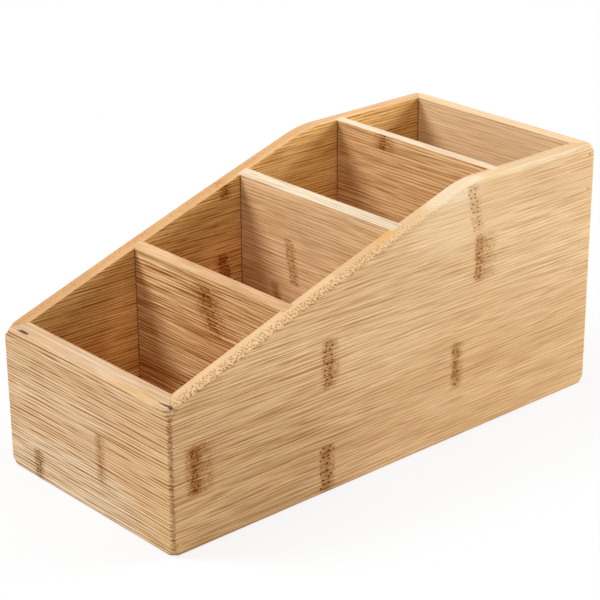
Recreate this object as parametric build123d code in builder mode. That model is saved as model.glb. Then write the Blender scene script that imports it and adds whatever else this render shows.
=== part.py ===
from build123d import *
import os

# Sloped desk organizer: four mitred bamboo boards stand round a base board that is held in a
# groove, and three dividers drop into housings in the two sides. Steel brads close the mitres.
# X runs across the width, Y from the low front to the high back, Z up. The origin is the middle
# of the footprint on the table. Millimetres.

# Outer size
width = 110
length = 240
back_height = 115
front_height = 62.3
wall = 8

# Sloped top: it rises from the front face, over the front board, bows up a little and turns level
slope_run = 162.5
slope_bow = 0.65
bend_radius = 50

# Sanded outside: every edge is rounded, and more comes off the eight tips, which are cut across first
edge_round = 1.8
tip_cut = 2.4

# Compartments, clear lengths from the front; the rear one takes what is left
divider = 5
front_room = 55
second_room = 54
third_room = 53
housing_depth = 2

# Base board in its groove
base = 5
base_lift = 4
groove_depth = 3
expansion_gap = 0.5

# Brads of flat wire, with a T head and a chisel point
brad_length = 15
brad_wide = 1.2
brad_thick = 1
head_wide = 1.6
head_thick = 0.8
point_length = 2
point_wide = 0.3

# Where brads enter a side: inset from its end, height of the head, height of the point.
# The two in the front rim went in askew, so sanding the rim has bared part of each.
low_brad = (3.5, 5, 5)
left_rim_brad = (2.6, 61.7, 63.5)
right_rim_brad = (2.8, 63.1, 62.25)
upper_back_brad = (4, 95, 95)
top_back_brad = (4, 111, 111)

# Worked out from the above
front = -length / 2
back = length / 2
side = width / 2
inner_side = side - wall
inner_back = back - wall
base_top = base_lift + base
slope_end = front + slope_run
front_divider_y = front + wall + front_room + divider / 2
middle_divider_y = front_divider_y + second_room + divider
rear_divider_y = middle_divider_y + third_room + divider

os.makedirs("parts", exist_ok=True)


def brad_planes(entry_x, end_y, seats):
    # One plane for each brad: its X runs across the mitre, its Y is the way the brad goes in
    inward_x = -entry_x / side
    inward_y = -end_y / back
    return [
        Plane(
            origin=(entry_x, end_y + inward_y * inset, head_z),
            x_dir=(0, 1, 0),
            z_dir=(point_z - head_z, 0, -inward_x * brad_length),
        )
        for inset, head_z, point_z in seats
    ]


# Outer form of the whole organizer, to which the boards are sanded
with BuildPart() as envelope:
    with BuildSketch(Plane.YZ) as profile:
        with BuildLine():
            Polyline(
                (front, front_height),
                (front, 0),
                (back, 0),
                (back, back_height),
                (slope_end, back_height),
            )
            SagittaArc((front, front_height), (slope_end, back_height), slope_bow)
        make_face()
        fillet(profile.vertices().group_by(Axis.Y)[-1].sort_by(Axis.X)[0], bend_radius)
    extrude(amount=side, both=True)
    for tip_x in (-side, side):
        for tip_y, tip_z in ((front, 0), (front, front_height), (back, 0), (back, back_height)):
            outward = Vector(tip_x / side, tip_y / back, 1 if tip_z else -1).normalized()
            tip = Vector(tip_x, tip_y, tip_z)
            split(bisect_by=Plane(origin=tip - outward * tip_cut, z_dir=outward), keep=Keep.BOTTOM)
    across = envelope.edges().filter_by(Axis.X)
    bend_edges = across.filter_by_position(Axis.Y, front + wall, back - wall)
    fillet(envelope.edges() - bend_edges, edge_round)

# Brads, one group for each corner, sanded flush with the outside
brad_groups = {
    "brads_front_left": brad_planes(-side, front, [low_brad, left_rim_brad]),
    "brads_front_right": brad_planes(side, front, [low_brad, right_rim_brad]),
    "brads_back_left": brad_planes(-side, back, [low_brad, upper_back_brad, top_back_brad]),
    "brads_back_right": brad_planes(side, back, [low_brad, upper_back_brad, top_back_brad]),
}
driven_brads = []
for name, planes in brad_groups.items():
    with BuildPart() as brads:
        with BuildSketch(*planes):
            with BuildLine():
                Polyline(
                    (0, 0),
                    (head_wide / 2, 0),
                    (head_wide / 2, head_thick),
                    (brad_wide / 2, head_thick),
                    (brad_wide / 2, brad_length - point_length),
                    (point_wide / 2, brad_length),
                    (0, brad_length),
                )
                mirror(about=Plane.YZ)
            make_face()
        extrude(amount=brad_thick / 2, both=True)
        add(envelope.part, mode=Mode.INTERSECT)
    brads.part.label = name
    export_step(brads.part, f"parts/{name}.step")
    driven_brads.append(brads.part)

# The four boards as one ring: hollow, grooved for the base, housed for the dividers
with BuildPart() as carcass:
    add(envelope.part)
    with BuildSketch():
        Rectangle(2 * inner_side, 2 * inner_back)
    extrude(amount=back_height, mode=Mode.SUBTRACT)
    with BuildSketch(Plane.XY.offset(base_lift)):
        Rectangle(2 * (inner_side + groove_depth), 2 * (inner_back + groove_depth))
    extrude(amount=base, mode=Mode.SUBTRACT)
    with BuildSketch(Plane.XY.offset(base_top)):
        with Locations((0, front_divider_y), (0, middle_divider_y), (0, rear_divider_y)):
            Rectangle(2 * (inner_side + housing_depth), divider)
    extrude(amount=back_height, mode=Mode.SUBTRACT)
    for brads_in_corner in driven_brads:
        add(brads_in_corner, mode=Mode.SUBTRACT)

# Each board is the ring between its two mitres, given here by its corners in plan
board_plans = {
    "front_panel": [(-side, front), (side, front), (inner_side, -inner_back), (-inner_side, -inner_back)],
    "right_side": [(side, front), (side, back), (inner_side, inner_back), (inner_side, -inner_back)],
    "back_panel": [(side, back), (-side, back), (-inner_side, inner_back), (inner_side, inner_back)],
    "left_side": [(-side, back), (-side, front), (-inner_side, -inner_back), (-inner_side, inner_back)],
}
for name, corners in board_plans.items():
    with BuildPart() as board:
        add(carcass.part)
        with BuildSketch():
            with BuildLine():
                Polyline(*corners, close=True)
            make_face()
        extrude(amount=back_height, mode=Mode.INTERSECT)
    board.part.label = name
    export_step(board.part, f"parts/{name}.step")

# Dividers stand on the base with their ends housed, and their tops follow the sides
divider_places = {
    "front_divider": front_divider_y,
    "middle_divider": middle_divider_y,
    "rear_divider": rear_divider_y,
}
for name, centre_y in divider_places.items():
    with BuildPart() as divider_board:
        with BuildSketch(Plane.XY.offset(base_top)):
            with Locations((0, centre_y)):
                Rectangle(2 * (inner_side + housing_depth), divider)
        extrude(amount=back_height)
        add(envelope.part, mode=Mode.INTERSECT)
    divider_board.part.label = name
    export_step(divider_board.part, f"parts/{name}.step")

# Base board, with room to swell in its groove
groove_reach = groove_depth - expansion_gap
with BuildPart() as base_board:
    with BuildSketch(Plane.XY.offset(base_lift)):
        Rectangle(2 * (inner_side + groove_reach), 2 * (inner_back + groove_reach))
    extrude(amount=base)
base_board.part.label = "base_board"
export_step(base_board.part, "parts/base_board.step")
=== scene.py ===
import math

import bpy
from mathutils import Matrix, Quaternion, Vector


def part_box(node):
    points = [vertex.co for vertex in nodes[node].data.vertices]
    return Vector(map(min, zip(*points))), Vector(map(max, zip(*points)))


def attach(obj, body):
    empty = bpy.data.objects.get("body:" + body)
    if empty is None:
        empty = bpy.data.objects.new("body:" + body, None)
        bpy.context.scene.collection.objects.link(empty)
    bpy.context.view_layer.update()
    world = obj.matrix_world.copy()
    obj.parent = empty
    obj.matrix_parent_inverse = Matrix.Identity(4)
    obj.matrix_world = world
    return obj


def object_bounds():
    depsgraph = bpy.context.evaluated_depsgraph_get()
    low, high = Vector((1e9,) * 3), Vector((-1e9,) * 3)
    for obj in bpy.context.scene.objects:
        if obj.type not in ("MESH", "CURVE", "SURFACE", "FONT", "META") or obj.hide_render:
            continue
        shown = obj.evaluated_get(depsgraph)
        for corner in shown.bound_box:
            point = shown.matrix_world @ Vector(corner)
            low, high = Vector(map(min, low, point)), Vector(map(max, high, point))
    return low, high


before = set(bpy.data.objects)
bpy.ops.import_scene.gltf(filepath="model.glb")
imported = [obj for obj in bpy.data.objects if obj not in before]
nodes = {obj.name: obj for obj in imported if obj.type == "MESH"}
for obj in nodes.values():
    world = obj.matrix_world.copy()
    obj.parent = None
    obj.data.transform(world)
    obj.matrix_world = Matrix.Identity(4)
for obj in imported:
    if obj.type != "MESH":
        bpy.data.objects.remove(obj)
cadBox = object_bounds()                                     # corners of the CAD model, in metres
mm = 0.001
print("frame loaded,", len(nodes), "pieces")

low, high = cadBox[0] / mm, cadBox[1] / mm               # corners of the organizer, in millimetres


def boxOf(node):                                         # one piece's corners, in millimetres
    return [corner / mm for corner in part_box(node)]


front, back, side = low.y, high.y, high.x
wall = boxOf("front_panel")[1].y - front
pastFront = front + 10                                   # just behind the front board
levelStart = front + 150                                 # about where the slope turns level


# Node trees. Wire is a socket that can stand in a sum, Sheet is the tree being written.
class Wire:
    def __init__(self, sheet, socket):
        self.sheet = sheet
        self.socket = socket

    def other(self, name):                               # another output of the same node
        return Wire(self.sheet, self.socket.node.outputs[name])

    def work(self, operation, *values):
        return self.sheet.add("ShaderNodeMath", {"operation": operation}, dict(enumerate(values)))

    def __add__(self, value):
        return self.work("ADD", self, value)

    def __radd__(self, value):
        return self.work("ADD", value, self)

    def __sub__(self, value):
        return self.work("SUBTRACT", self, value)

    def __rsub__(self, value):
        return self.work("SUBTRACT", value, self)

    def __mul__(self, value):
        return self.work("MULTIPLY", self, value)

    def __truediv__(self, value):
        return self.work("DIVIDE", self, value)

    def __abs__(self):
        return self.work("ABSOLUTE", self)

    def floor(self):
        return self.work("FLOOR", self)

    def most(self, value):
        return self.work("MAXIMUM", self, value)

    def near(self, value, reach):                        # 1 within reach of value, else 0
        return self.work("COMPARE", self, value, reach)

    def rise(self, start, end):                          # 0 up to start, 1 from end, eased between
        span = {"Value": self, "From Min": start, "From Max": end}
        return self.sheet.add("ShaderNodeMapRange", {"interpolation_type": "SMOOTHSTEP"}, span)

    def fall(self, start, end):
        return 1 - self.rise(start, end)


class Sheet:
    def __init__(self, tree):
        self.tree = tree
        tree.nodes.clear()

    def add(self, kind, settings={}, inputs={}, output=0):
        made = self.tree.nodes.new(kind)
        for name, value in settings.items():
            setattr(made, name, value)
        for name, value in inputs.items():
            if isinstance(value, Wire):
                self.tree.links.new(value.socket, made.inputs[name])
            else:
                made.inputs[name].default_value = value
        return Wire(self, made.outputs[output]) if made.outputs else None

    def point(self, x, y, z):
        return self.add("ShaderNodeCombineXYZ", {}, {0: x, 1: y, 2: z})

    def vector(self, operation, *values, output=0):
        return self.add("ShaderNodeVectorMath", {"operation": operation}, dict(enumerate(values)), output)

    def noise(self, at, detail=1.0):
        return self.add("ShaderNodeTexNoise", {}, {"Vector": at, "Scale": 1.0, "Detail": detail})

    def cells(self, at):                                 # distance to the nearest scattered point
        return self.add("ShaderNodeTexVoronoi", {}, {"Vector": at, "Scale": 1.0})

    def dots(self, across, up, scatter=1.0):             # the same on a flat sheet, running straight in
        values = {"Vector": self.point(across, up, 0.0), "Scale": 1.0, "Randomness": scatter}
        return self.add("ShaderNodeTexVoronoi", {"voronoi_dimensions": "2D"}, values)

    def blend(self, share, first, second, kind="MIX"):   # two colours, on the Mix node's colour sockets
        settings = {"data_type": "RGBA", "clamp_factor": True, "blend_type": kind}
        return self.add("ShaderNodeMix", settings, {0: share, 6: first, 7: second}, output=2)

    def relief(self, strength, deep, height):            # deep in millimetres
        values = {"Strength": strength, "Distance": deep * mm, "Height": height}
        return self.add("ShaderNodeBump", {}, values)

    def surface(self, values):
        shader = self.add("ShaderNodeBsdfPrincipled", {}, values)
        self.add("ShaderNodeOutputMaterial", {}, {"Surface": shader})

    def inMillimetres(self):                             # place on the piece, and its three parts
        place = self.add("ShaderNodeTexCoord", output="Object")
        at = self.add("ShaderNodeVectorMath", {"operation": "SCALE"}, {0: place, "Scale": 1 / mm})
        x = self.add("ShaderNodeSeparateXYZ", {}, {0: at})
        return at, x, x.other("Y"), x.other("Z")


def paint(red, green, blue):                             # 0-255 as on a screen, to what shaders take
    def linear(value):
        share = value / 255
        return share / 12.92 if share <= 0.04045 else ((share + 0.055) / 1.055) ** 2.4
    return (linear(red), linear(green), linear(blue), 1.0)


def put(name, data):                                     # a new object in the scene
    piece = bpy.data.objects.new(name, data)
    bpy.context.scene.collection.objects.link(piece)
    return piece


def newFinish(name):
    finish = bpy.data.materials.new(name)
    finish.use_nodes = True
    return finish, Sheet(finish.node_tree)


# Bamboo, in millimetres along, up and into each board. A darkness multiplies the colour under it.
bamboo = {
    "inside": None, "deeper": (-14, -19, -22), "paler": (9, 10, 9), "warmth": 3.0, "mitred": True,
    "stripHigh": 23, "stripStart": 0,                    # boards are glued up from strips this high
    "cloud": (110, 9, 8), "cloudy": 1.1, "mixed strips": 0.55,
    "blush": (70, 14, 10), "blushed": 0.5, "sway": 0.9,
    "fine": (50, 0.36, 0.55), "fine lines": 0.65, "line dark": 0.52,     # thin dark lines
    "light lines": 0.4, "line light": 1.12,              # and the light ones between
    "combed": (90, 1.6), "combed lines": 0.4, "comb dark": 0.45,         # evenly spaced dark lines
    "comb sway": 1.6, "comb length": 22,
    "short": (18, 0.26, 0.42), "short lines": 0.9,
    "broad": (60, 1.7, 2.2), "broad lines": 0.1, "broad dark": 0.84,
    "bundle": (30, 0.70, 0.85), "bundles": 0.4, "bundle dark": 0.55,     # fibre bundles, as dashes
    "rim figure": 0.35,                                  # how much of the lines a top edge shows
    "cut dots": (1.6, 1.05), "cut": 0.0,                 # the bundles cut across, on a sloped top
    "hair": (7, 0.30, 0.36), "hairs": 0.4,               # the finest figure
    "pore": 2.1, "wisp": (2.4, 0.6), "stain dark": 0.6, "wisp dark": 0.48, "pore dark": 0.12,
    "ring reach": 18, "ring wander": 2.0, "tick dark": 0.6, "roughness": 0.5, "gloss": 0.1, "relief": 0.012,
    "rings": [], "washes": [], "calm": [],
}

honey = (1.04, 0.92, 0.60, 1)                            # tints for soft patches: tones of the wood, and painted light and painted shade
creamy = (1.06, 1.12, 1.22, 1)
reddish = (0.97, 0.90, 0.88, 1)
dusky = (0.86, 0.84, 0.80, 1)
# painted light: this tint lightens a patch where more light falls
paintedLight = (1.16, 1.20, 1.28, 1)
chalky = (1.10, 1.26, 1.46, 1)


def tones(colour, look):                                 # the deep and the pale end of one colour
    return [paint(*(part + step for part, step in zip(colour, look[end]))) for end in ("deeper", "paler")]


def shade(amount, warmth):                               # darker turns browner, lighter turns creamier
    return (amount, amount ** (1 + 0.25 * warmth), amount ** (1 + 0.75 * warmth), 1)


def makeRings(sheet, look, along, up, depth, rowAt, upInRow):
    # a node ring crosses one strip: pores in two columns, torn fibres round them, and a stain
    rings = look["rings"]
    zones = [rowAt.near(ring["row"], 0.5) * along.near(ring["at"], look["ring reach"]) for ring in rings]
    outOfReach = 99

    def total(name, usual):
        return sum(zone * ring.get(name, usual) for zone, ring in zip(zones, rings))

    beyond = 1 - sum(zones)
    middle = sum(zone * (upInRow * ring.get("lean", 0) + ring["at"]) for zone, ring in zip(zones, rings))
    wander = sheet.noise(sheet.point(up / 5, depth / 9, look["seed"])) - 0.5
    off = along - middle + beyond * outOfReach + wander * look["ring wander"]
    pitch = total("gap", 1.2) * 2 + beyond
    half = look["stripHigh"] / 2
    ends = abs(upInRow).fall(half - 2.2, half - 0.2)

    after = off / (total("after", 5) + beyond)
    before = off / (total("before", 4) + beyond) * -1
    spread = after.most(before).fall(0.0, 1.0) * ends
    ragged = sheet.noise(sheet.point(along / 8, up / 0.8, depth + 4.1)).rise(0.34, 0.62) * 0.75 + 0.25
    band = abs(off + 0.3).fall(0.0, 4.4) * ends * total("band", 0.3)
    column = (abs(off) / pitch).fall(0.95, 1.1) * ends
    chevron = (up - abs(off) * 0.7) / look["wisp"][1]
    wisps = sheet.dots(off / look["wisp"][0], chevron).fall(0.16, 0.40) * spread.rise(0.0, 0.4) * ragged
    pore = sheet.dots(off / pitch, up / look["pore"], 0.6)
    column = column * pore.other("Color").rise(0.15, 0.30) * total("pores", 1.0)
    return {
        "stain": spread * ragged * total("stain", 0.5) + band,
        "wisps": (wisps * total("wisps", 0.7)).most(pore.fall(0.12, 0.42) * column * 0.6),
        "pores": pore.fall(0.08, 0.20) * column,
    }


def makeBamboo(name, board):
    look = {**bamboo, **board}
    finish, sheet = newFinish(name)
    at, x, y, z = sheet.inMillimetres()
    axes = {"x": x, "y": y, "z": z}
    along, up = axes[look["grain"]], axes[look["stack"]]
    depth = (axes[look["through"]] - look["outside"]) * look["inward"]
    facing = sheet.add("ShaderNodeTexCoord", output="Normal")
    lift = sheet.add("ShaderNodeSeparateXYZ", {}, {0: facing}).other("Z")
    top = lift.rise(0.55, 0.92)
    slope = along.fall(levelStart - 10, levelStart + 10)
    cut = lift.rise(0.4, 0.8) * slope * look["cut"]      # where the slope cuts the fibres across

    row = (up - look["stripStart"]) / look["stripHigh"]
    rowAt = row.floor()
    upInRow = (row - rowAt - 0.5) * look["stripHigh"]
    strip = sheet.add("ShaderNodeTexWhiteNoise", {}, {"Vector": sheet.point(rowAt, look["seed"], 0.0)})
    sway = (sheet.noise(sheet.point(along / 42, up / 16, look["seed"])) - 0.5) * look["sway"]

    def darken(share, colour, amount):
        return sheet.blend(share, colour, shade(look[amount], look["warmth"]), "MULTIPLY")

    def patch(centre, reach):
        far = sheet.vector("DIVIDE", sheet.vector("SUBTRACT", at, centre), reach)
        return sheet.vector("LENGTH", far, output="Value").fall(0.55, 1.1)

    def figure(size, seed, detail=0.0):                  # a pattern in its own stretched space
        place = (along / size[0] + strip * seed, (up + sway) / size[1], depth / size[2] + seed)
        return sheet.noise(sheet.point(*place), detail)

    # Broad changes of tone, from strip to strip and along each
    cloud = figure(look["cloud"], 3.1, 1.0)
    tone = (cloud - 0.5) * look["cloudy"] + (strip - 0.5) * look["mixed strips"] + 0.5
    colour = sheet.blend(tone, *tones(look["base"], look))
    if look["inside"]:
        inside = depth.rise(look["thick"] - 0.5, look["thick"] - 0.1)
        colour = sheet.blend(inside, colour, sheet.blend(tone, *tones(look["inside"], look)))
    colour = sheet.blend(top, colour, sheet.blend(tone, *tones(look["rim"], look)))
    blush = figure(look["blush"], 6.4, 1.0).rise(0.45, 0.72) * look["blushed"]
    colour = sheet.blend(blush, colour, reddish, "MULTIPLY")
    for centre, reach, tint, share in look["washes"]:    # soft patches at their own places: tones of the wood, and some painted light and painted shade
        colour = sheet.blend(patch(centre, reach) * share, colour, tint, "MULTIPLY")

    ring = makeRings(sheet, look, along, up, depth, rowAt, upInRow) if look["rings"] else None

    # Lines along the fibres, stronger in some places than in others
    force = (figure((60, 7, 6), 8.7, 1.0).rise(0.32, 0.62) * 0.5 + 0.45) * (1 - cut * 0.7)
    calm = 1
    for centre, reach, share in look["calm"]:
        calm = (1 - patch(centre, reach) * share) * calm
    plain = (1 - top * (1 - look["rim figure"])) * calm  # how much of the figure shows
    force = force * plain
    streak = force + ring["stain"] if ring else force
    fine = figure(look["fine"], 5.3)
    short = figure(look["short"], 7.7)
    broad = figure(look["broad"], 2.2, 1.0)
    colour = darken(broad.rise(0.50, 0.72) * look["broad lines"], colour, "broad dark")
    colour = darken(fine.fall(0.36, 0.45) * plain * look["light lines"], colour, "line light")
    dark = fine.rise(0.55, 0.61) * streak * look["fine lines"]
    colour = darken(dark, colour, "line dark")
    shorts = short.rise(0.55, 0.63) * (1.3 - force) * plain * (1 - cut) * look["short lines"]
    colour = darken(shorts, colour, "line dark")
    bend = sheet.noise(sheet.point(along / look["combed"][0] + strip * 7, up / 4, look["seed"]))
    comb = (up + sway) / look["combed"][1] + bend * look["comb sway"]
    tooth = comb.floor()
    strength = sheet.noise(sheet.point(along / look["comb length"], tooth * 3.7, look["seed"]))
    strength = strength.rise(0.35, 0.65) * 0.8 + 0.3     # some lines are weaker, and they come and go
    combed = abs(comb - tooth - 0.5).fall(0.06, 0.32) * strength
    colour = darken(combed * (1 - top) * calm * look["combed lines"], colour, "comb dark")
    hair = figure(look["hair"], 9.4, 1.0)
    colour = darken(hair.rise(0.50, 0.76) * plain * look["hairs"], colour, "broad dark")

    outer = depth.fall(look["thick"] * 0.48, look["thick"] * 0.68)
    bundlePlace = (along / look["bundle"][0], (up + sway) / look["bundle"][1], depth / look["bundle"][2])
    bundle = sheet.cells(sheet.point(*bundlePlace)).fall(0.24, 0.36) * outer * force * look["bundles"]
    cutDots = sheet.dots(along / look["cut dots"][0], depth / look["cut dots"][1], 0.75).fall(0.22, 0.36)
    bundle = bundle.most(cutDots * outer * cut * calm)
    colour = darken(bundle, colour, "bundle dark")

    if ring:
        ring = {name: share * (1 - top) for name, share in ring.items()}
        colour = darken(ring["stain"], colour, "stain dark")
        colour = darken(ring["wisps"], colour, "wisp dark")
        colour = darken(ring["pores"], colour, "pore dark")

    if look["mitred"]:                                   # torn fibres at the front, a thin joint on top
        cornerX, cornerY = high.x - abs(x), high.y - abs(y)
        fromCorner = cornerX.most(cornerY)
        ticks = sheet.dots(fromCorner / 1.1, (z + fromCorner * 0.8) / 1.1).fall(0.20, 0.38)
        ticks = ticks * fromCorner.fall(0.9, 2.2) * y.fall(pastFront, pastFront + 2)
        joint = abs(cornerX - cornerY).fall(0.08, 0.35) * top * 0.5
        colour = darken(ticks.most(joint), colour, "tick dark")

    height = hair * 0.2 - (dark * 0.3 + bundle * 0.3)
    if ring:
        height = height - ring["pores"] * 0.5
    roughness = (cloud - 0.5) * 0.2 + (dark * 0.08 + look["roughness"])
    sheet.surface({
        "Base Color": colour, "Roughness": roughness, "Specular IOR Level": look["gloss"],
        "Normal": sheet.relief(0.3, look["relief"], height)})
    return finish


def dress(piece, board):
    finish = makeBamboo(piece + "_bamboo", board)
    node = nodes[piece]
    for slot in node.material_slots:
        slot.material = finish
    print("dressed", piece)


dress("right_side", {
    "slot": "bamboo_boards", "grain": "y", "stack": "z", "through": "x",
    "outside": side, "inward": -1, "thick": wall, "seed": 2.0,
    "base": (234, 199, 152), "inside": (236, 196, 146), "rim": (232, 196, 152), "cut": 1.0,
    "fine lines": 0.42, "short lines": 0.8, "combed lines": 0.55, "cloudy": 0.9,
    "rings": [
        {"row": 1, "at": front + 12, "gap": 1.1, "stain": 0.8, "before": 7, "after": 12, "band": 0.5,
         "wisps": 1.0},
        {"row": 0, "at": front + 80, "gap": 1.9, "stain": 0.5, "before": 5, "after": 6, "wisps": 1.0},
        {"row": 2, "at": front + 81.5, "gap": 1.5, "stain": 0.5, "before": 6, "after": 7, "wisps": 1.0},
        {"row": 1, "at": front + 154.5, "gap": 1.2, "stain": 0.5, "before": 4, "after": 6},
        {"row": 4, "at": front + 164, "gap": 1.6, "pores": 0.7, "stain": 0.12, "lean": -0.2, "band": 0.1},
        {"row": 3, "at": front + 167, "gap": 1.2, "stain": 0.5, "before": 3, "after": 13, "wisps": 0.9},
    ],
    "washes": [
        ((side - 6.3, front + 118, 101), (2.6, 10, 5), honey, 1.0),
        # painted light: the face lighter towards its back and its top
        ((side, front + 147, 98), (4, 22, 15), creamy, 1.0),
        ((side, front + 225, 90), (4, 60, 60), creamy, 0.5),
        # painted shade: the face darker low at the front
        ((side, front + 15, 15), (4, 90, 55), dusky, 0.9),
        # a painted sheen along the rounded top edge
        ((side - 4, front + 152, 113), (7, 26, 8), chalky, 0.9),
        ((side - 4, front + 205, high.z), (7, 45, 3), chalky, 0.7),
        ((side - 4, front + 150, 113), (7, 24, 6), creamy, 0.5),
    ],
    "calm": [
        ((side, front + 195, 60), (12, 120, 110), 0.4),
        ((side - 4, front + 155, 108), (14, 40, 26), 0.5),
    ],
})
dress("left_side", {
    "slot": "bamboo_boards", "grain": "y", "stack": "z", "through": "x",
    "outside": -side, "inward": 1, "thick": wall, "seed": 5.0,
    # painted shade: the strong orange of the inner face in shade is painted into its inside colour
    "base": (227, 188, 138), "inside": (255, 217, 143), "rim": (229, 184, 134), "cut": 0.6, "warmth": 4.0,
    "fine lines": 0.6, "combed": (60, 1.4), "combed lines": 0.8, "blushed": 0.7,
    "cloud": (60, 7, 8), "cloudy": 1.2, "hair": (3, 0.34, 0.4), "hairs": 1.0,
    "rings": [
        {"row": 4, "at": front + 113, "stain": 0.6},
        {"row": 2, "at": front + 113, "gap": 1.6, "stain": 0.7, "before": 6, "after": 3, "lean": -0.2},
    ],
    "washes": [
        # painted light: the inner face lighter in patches inside the rooms
        ((wall - side, front + 175, 95), (4, 70, 45), paintedLight, 0.5),
        ((wall - side, front + 164, 97), (4, 24, 20), paintedLight, 1.0),
        ((wall - side, front + 112, 62), (4, 16, 20), paintedLight, 1.0),
        ((wall - side, front + 58, 45), (4, 14, 26), paintedLight, 1.0),
        ((4 - side, front + 15, 68), (8, 45, 16), dusky, 1.0),
    ],
    "calm": [
        ((wall - side, front + 175, 95), (4, 70, 45), 0.2),
        ((-side, 0, 60), (5, 300, 200), 0.5),
    ],
})
dress("front_panel", {
    "slot": "bamboo_boards", "grain": "x", "stack": "z", "through": "y",
    "outside": front, "inward": 1, "thick": wall, "seed": 8.0, "stripStart": -8,
    "base": (234, 202, 162), "rim": (225, 193, 157), "warmth": 2.6,
    "fine": (120, 0.42, 0.6), "fine lines": 0.35, "short lines": 0.5, "broad lines": 0.0,
    "combed": (90, 1.38), "combed lines": 1.0, "comb dark": 0.44, "rim figure": 0.9,
    "cloudy": 0.25, "mixed strips": 0.3,
    "rings": [
        {"row": 0, "at": -34, "gap": 1.2, "stain": 0.45, "wisps": 1.0, "before": 5},
        {"row": 1, "at": 9.8, "gap": 0.3, "stain": 0.35, "lean": -0.03},
    ],
    "washes": [
        ((30, front + 2.2, 62), (20, 1.8, 3), honey, 0.5),
        ((5, front + 5, 63), (32, 3, 4), creamy, 1.0),
        ((0, front, 27), (60, 3, 11), reddish, 0.3),
        ((-10, front, 6), (60, 4, 19), chalky, 0.9),
        ((48, front, 32), (35, 4, 40), honey, 0.3),
    ],
})
dress("back_panel", {
    "slot": "bamboo_boards", "grain": "x", "stack": "z", "through": "y",
    "outside": back, "inward": -1, "thick": wall, "seed": 11.0,
    "base": (227, 188, 138), "inside": (245, 216, 174), "rim": (238, 206, 164), "fine lines": 0.4,
    "light lines": 0.3, "short lines": 0.45, "combed lines": 0.25,
})
dividers = {
    "front_divider": {
        "seed": 14.0, "stripStart": 12, "base": (253, 218, 164), "rim": (237, 201, 158),
        "fine lines": 1.0, "combed": (70, 1.5), "combed lines": 0.85, "hairs": 0.8,
        "rings": [
            {"row": 2, "at": 3.0, "lean": -0.38, "gap": 2.0, "pores": 0.8, "stain": 0.5, "wisps": 1.0,
             "before": 12, "after": 11},
        ],
        "washes": [
            # painted light: the face lighter high up on the left
            ((-34, 0, 72), (26, 200, 16), paintedLight, 0.8),
            ((4, 0, 58), (24, 200, 20), reddish, 0.9),
        ],
    },
    "middle_divider": {
        "seed": 17.0, "stripStart": 13, "base": (254, 220, 171), "rim": (246, 230, 202),
        "fine lines": 0.4, "combed lines": 0.35,
        "rings": [
            {"row": 2, "at": -13.3, "lean": -0.2, "gap": 1.6, "pores": 0.5, "stain": 0.25, "wisps": 0.9},
            {"row": 1, "at": -22.5, "lean": -0.2, "pores": 0.6},
        ],
        "washes": [((44, 0, 103), (36, 200, 3), dusky, 0.6)],
    },
    "rear_divider": {
        "seed": 20.0, "stripStart": 15, "base": (254, 218, 166), "rim": (246, 228, 201),
        "fine lines": 0.7, "combed lines": 0.55,
        "rings": [
            {"row": 4, "at": -17, "gap": 1.0, "wisps": 1.0, "before": 8, "after": 9},
        ],
    },
}
for piece, look in dividers.items():
    lowest, highest = boxOf(piece)
    dress(piece, {
        **look, "slot": "bamboo_dividers", "grain": "x", "stack": "z", "through": "y",
        "outside": lowest.y, "inward": 1, "thick": highest.y - lowest.y, "warmth": 3.2, "mitred": False,
    })
baseLow, baseHigh = boxOf("base_board")
dress("base_board", {
    "slot": "bamboo_base", "grain": "y", "stack": "x", "through": "z",
    "outside": baseHigh.z, "inward": -1, "thick": baseHigh.z - baseLow.z, "seed": 23.0,
    "base": (234, 194, 142), "rim": (234, 194, 142), "mitred": False,
})

# Brads: the heads were filled and sanded over, and the two that the rim bares are dark wire
brads = {
    "wire": paint(92, 66, 50), "rubbed": paint(142, 128, 122), "patch": 1.3, "roughness": 0.42,
    "filler": paint(214, 160, 104), "filler specks": paint(168, 112, 70), "bareAbove": 59,
    "relief": 0.1,
}


def makeBrads(name, look):
    finish, sheet = newFinish(name)
    at, x, y, z = sheet.inMillimetres()
    bare = z.rise(look["bareAbove"], look["bareAbove"] + 1) * y.fall(pastFront, pastFront + 1)
    patches = sheet.noise(sheet.vector("DIVIDE", at, (look["patch"],) * 3), 2.0)
    rubbed = patches.rise(0.50, 0.70)
    filled = sheet.blend(patches.rise(0.45, 0.65), look["filler"], look["filler specks"])
    colour = sheet.blend(bare, filled, sheet.blend(rubbed, look["wire"], look["rubbed"]))
    sheet.surface({
        "Base Color": colour, "Metallic": bare, "Roughness": rubbed * -0.1 + look["roughness"],
        "Normal": sheet.relief(0.4, look["relief"], patches)})
    return finish


bradFinish = makeBrads("brad_wire", brads)
for corner in ("front_left", "front_right", "back_left", "back_right"):
    node = nodes["brads_" + corner]
    for slot in node.material_slots:
        slot.material = bradFinish
print("brads dressed")

# Glue that squeezed out and was wiped along each upright inner corner
glue = {
    "Bead": 0.28, "Step": 1.3, "Uneven": 0.75, "Stray": 0.08, "Seed": 4, "Sides": 6,
    "below rim": 1.2, "dried": paint(158, 108, 64), "crusted": paint(104, 66, 38), "patch": 3.0,
    "roughness": 0.35, "relief": 0.1,
}


def makeGlue(name, look):
    finish, sheet = newFinish(name)
    at = sheet.inMillimetres()[0]
    patches = sheet.noise(sheet.vector("DIVIDE", at, (look["patch"],) * 3), 2.0)
    colour = sheet.blend(patches.rise(0.40, 0.62), look["dried"], look["crusted"])
    sheet.surface({
        "Base Color": colour, "Roughness": patches * 0.3 + look["roughness"],
        "Normal": sheet.relief(0.5, look["relief"], patches)})
    return finish


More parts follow.
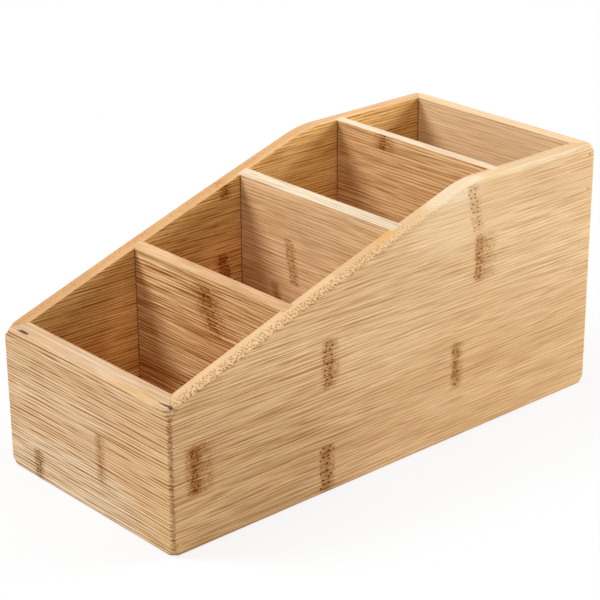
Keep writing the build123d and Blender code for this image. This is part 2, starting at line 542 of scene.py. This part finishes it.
def beadTree(finish):                                    # lines to uneven beads
    tree = bpy.data.node_groups.new("glue_beads", "GeometryNodeTree")
    face = tree.interface
    face.new_socket("Lines", in_out="INPUT", socket_type="NodeSocketGeometry")
    for name in ("Bead", "Step", "Uneven", "Stray"):
        face.new_socket(name, in_out="INPUT", socket_type="NodeSocketFloat")
    for name in ("Seed", "Sides"):
        face.new_socket(name, in_out="INPUT", socket_type="NodeSocketInt")
    face.new_socket("Beads", in_out="OUTPUT", socket_type="NodeSocketGeometry")
    sheet = Sheet(tree)
    given = sheet.add("NodeGroupInput")
    bead, step, uneven, most, seed, sides = [
        given.other(name) for name in ("Bead", "Step", "Uneven", "Stray", "Seed", "Sides")]
    lines = sheet.add("GeometryNodeMeshToCurve", {}, {"Mesh": given})
    lines = sheet.add("GeometryNodeResampleCurve", {"mode": "LENGTH"}, {"Curve": lines, "Length": step})
    stray = sheet.add("FunctionNodeRandomValue", {"data_type": "FLOAT_VECTOR"}, {
        "Min": (-1, -1, 0), "Max": (1, 1, 0), "Seed": seed})
    stray = sheet.add("ShaderNodeVectorMath", {"operation": "SCALE"}, {0: stray, "Scale": most})
    lines = sheet.add("GeometryNodeSetPosition", {}, {"Geometry": lines, "Offset": stray})
    chance = sheet.add("FunctionNodeRandomValue", {"data_type": "FLOAT"}, {"Seed": seed}, output=1)
    thick = 1 - chance * uneven
    lines = sheet.add("GeometryNodeSetCurveRadius", {}, {"Curve": lines, "Radius": thick})
    circle = sheet.add("GeometryNodeCurvePrimitiveCircle", {}, {"Resolution": sides, "Radius": bead})
    beads = sheet.add("GeometryNodeCurveToMesh", {}, {
        "Curve": lines, "Profile Curve": circle, "Fill Caps": True})
    beads = sheet.add("GeometryNodeRealizeInstances", {}, {"Geometry": beads})
    beads = sheet.add("GeometryNodeSetMaterial", {}, {"Geometry": beads, "Material": finish})
    sheet.add("NodeGroupOutput", {}, {"Beads": beads})
    return tree


def cornerLines(look):                                   # one upright line in each inner corner
    nearFront, nearBack = front + wall, back - wall
    faces = [nearFront, nearBack]
    (_, low1), (_, low2) = boxOf("front_divider"), boxOf("middle_divider")
    climb = (low2.z - low1.z) / (low2.y - low1.y)
    for piece in ("front_divider", "middle_divider", "rear_divider"):
        faces += [corner.y for corner in boxOf(piece)]
    ends = []
    for y in faces:
        rim = min(low1.z + (y - low1.y) * climb, high.z) - look["below rim"]
        for x in (wall - side, side - wall):
            ends += [(x * mm, y * mm, baseHigh.z * mm), (x * mm, y * mm, rim * mm)]
    return ends


def putGlue(look):
    ends = cornerLines(look)
    mesh = bpy.data.meshes.new("glue_lines")
    mesh.from_pydata(ends, [(at, at + 1) for at in range(0, len(ends), 2)], [])
    piece = put("glue_lines", mesh)
    finish = makeGlue("dried_glue", look)
    beads = piece.modifiers.new("beads", "NODES")
    beads.node_group = beadTree(finish)
    for socket in beads.node_group.interface.items_tree:
        if socket.in_out == "INPUT" and socket.name in look:
            inMetres = mm if socket.name in ("Bead", "Step", "Stray") else 1
            beads[socket.identifier] = look[socket.name] * inMetres
    made = piece.evaluated_get(bpy.context.evaluated_depsgraph_get())
    piece.data = bpy.data.meshes.new_from_object(made)
    piece.modifiers.clear()
    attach(piece, "root")
    print("glue laid in", len(ends) // 2, "corners,", len(piece.data.polygons), "faces")


putGlue(glue)

# Studio
studio = {
    "floor": paint(244, 244, 244), "roughness": 0.9, "floorSize": 12, "whiteNear": 0.82, "whiteBy": 110,
    "ambient": 0.22, "aim": (0, 0, 56),
    "lamps": {                   # where each hangs (azimuth, elevation, distance), its size, its watts
        "key": (-40, 42, 1.3, 0.55, 11.7),
        "top": (90, 86, 0.55, 0.4, 0.6),
        "fill": (150, 18, 1.2, 0.7, 12.8),
        "front fill": (30, 25, 1.2, 0.8, 0.85),
        "front top": (0, 75, 0.55, 0.4, 0.18),
    },
}


def away(azimuth, elevation):                            # azimuth 0 stands in front of the low end
    a, e = math.radians(azimuth), math.radians(elevation)
    return Vector((math.sin(a) * math.cos(e), -math.cos(a) * math.cos(e), math.sin(e)))


def putFloor(look):
    half = look["floorSize"] / 2
    mesh = bpy.data.meshes.new("floor")
    corners = [(-half, -half, 0), (half, -half, 0), (half, half, 0), (-half, half, 0)]
    mesh.from_pydata(corners, [], [(0, 1, 2, 3)])
    floor = put("floor", mesh)
    finish, sheet = newFinish("floor_paper")
    paper = sheet.add("ShaderNodeBsdfPrincipled", {}, {
        "Base Color": look["floor"], "Roughness": look["roughness"], "Specular IOR Level": 0.0})
    white = sheet.add("ShaderNodeEmission", {}, {"Color": (1, 1, 1, 1), "Strength": 1.0})
    _, x, y, _ = sheet.inMillimetres()
    outside = (abs(x) - side).most(abs(y) - back)        # the shadow shows beside the organizer
    share = outside.rise(0, look["whiteBy"]) * (1 - look["whiteNear"]) + look["whiteNear"]
    seen = sheet.add("ShaderNodeLightPath")
    both = sheet.add("ShaderNodeMixShader", {}, {0: seen * share, 1: paper, 2: white})
    sheet.add("ShaderNodeOutputMaterial", {}, {"Surface": both})
    mesh.materials.append(finish)


def putSky(look):
    world = bpy.data.worlds.new("studio")
    bpy.context.scene.world = world
    world.use_nodes = True
    sheet = Sheet(world.node_tree)
    path = sheet.add("ShaderNodeLightPath")
    seen = path.most(path.other("Is Glossy Ray")).most(path.other("Is Transmission Ray"))
    strength = seen * (1 - look["ambient"]) + look["ambient"]
    sky = sheet.add("ShaderNodeBackground", {}, {"Color": (1, 1, 1, 1), "Strength": strength})
    sheet.add("ShaderNodeOutputWorld", {}, {"Surface": sky})


def putLamps(look):
    centre = Vector(look["aim"]) * mm
    for name, (azimuth, elevation, distance, size, watts) in look["lamps"].items():
        light = bpy.data.lights.new(name, "AREA")
        light.shape = "DISK"
        light.size = size
        light.energy = watts
        lamp = put(name, light)
        direction = away(azimuth, elevation)
        lamp.location = centre + direction * distance
        lamp.rotation_euler = (-direction).to_track_quat("-Z", "Y").to_euler()


putFloor(studio)
putSky(studio)
putLamps(studio)

shot = {"aim": (-4.61, -1.06, 56.63), "azimuth": 48.42, "elevation": 22.52, "roll": -0.431,
        "distance": 849.27, "lens": 117.961, "sensor": 36, "nearest": 50}
camera = put("camera", bpy.data.cameras.new("camera"))
camera.data.lens = shot["lens"]
camera.data.sensor_width = shot["sensor"]
camera.data.clip_start = shot["nearest"] * mm
direction = away(shot["azimuth"], shot["elevation"])
camera.location = Vector(shot["aim"]) * mm + direction * shot["distance"] * mm
camera.rotation_mode = "QUATERNION"
turn = Quaternion((0, 0, 1), math.radians(shot["roll"]))
camera.rotation_quaternion = (-direction).to_track_quat("-Z", "Y") @ turn
bpy.context.scene.camera = camera
bpy.context.scene.view_settings.view_transform = "Standard"
print("studio ready")
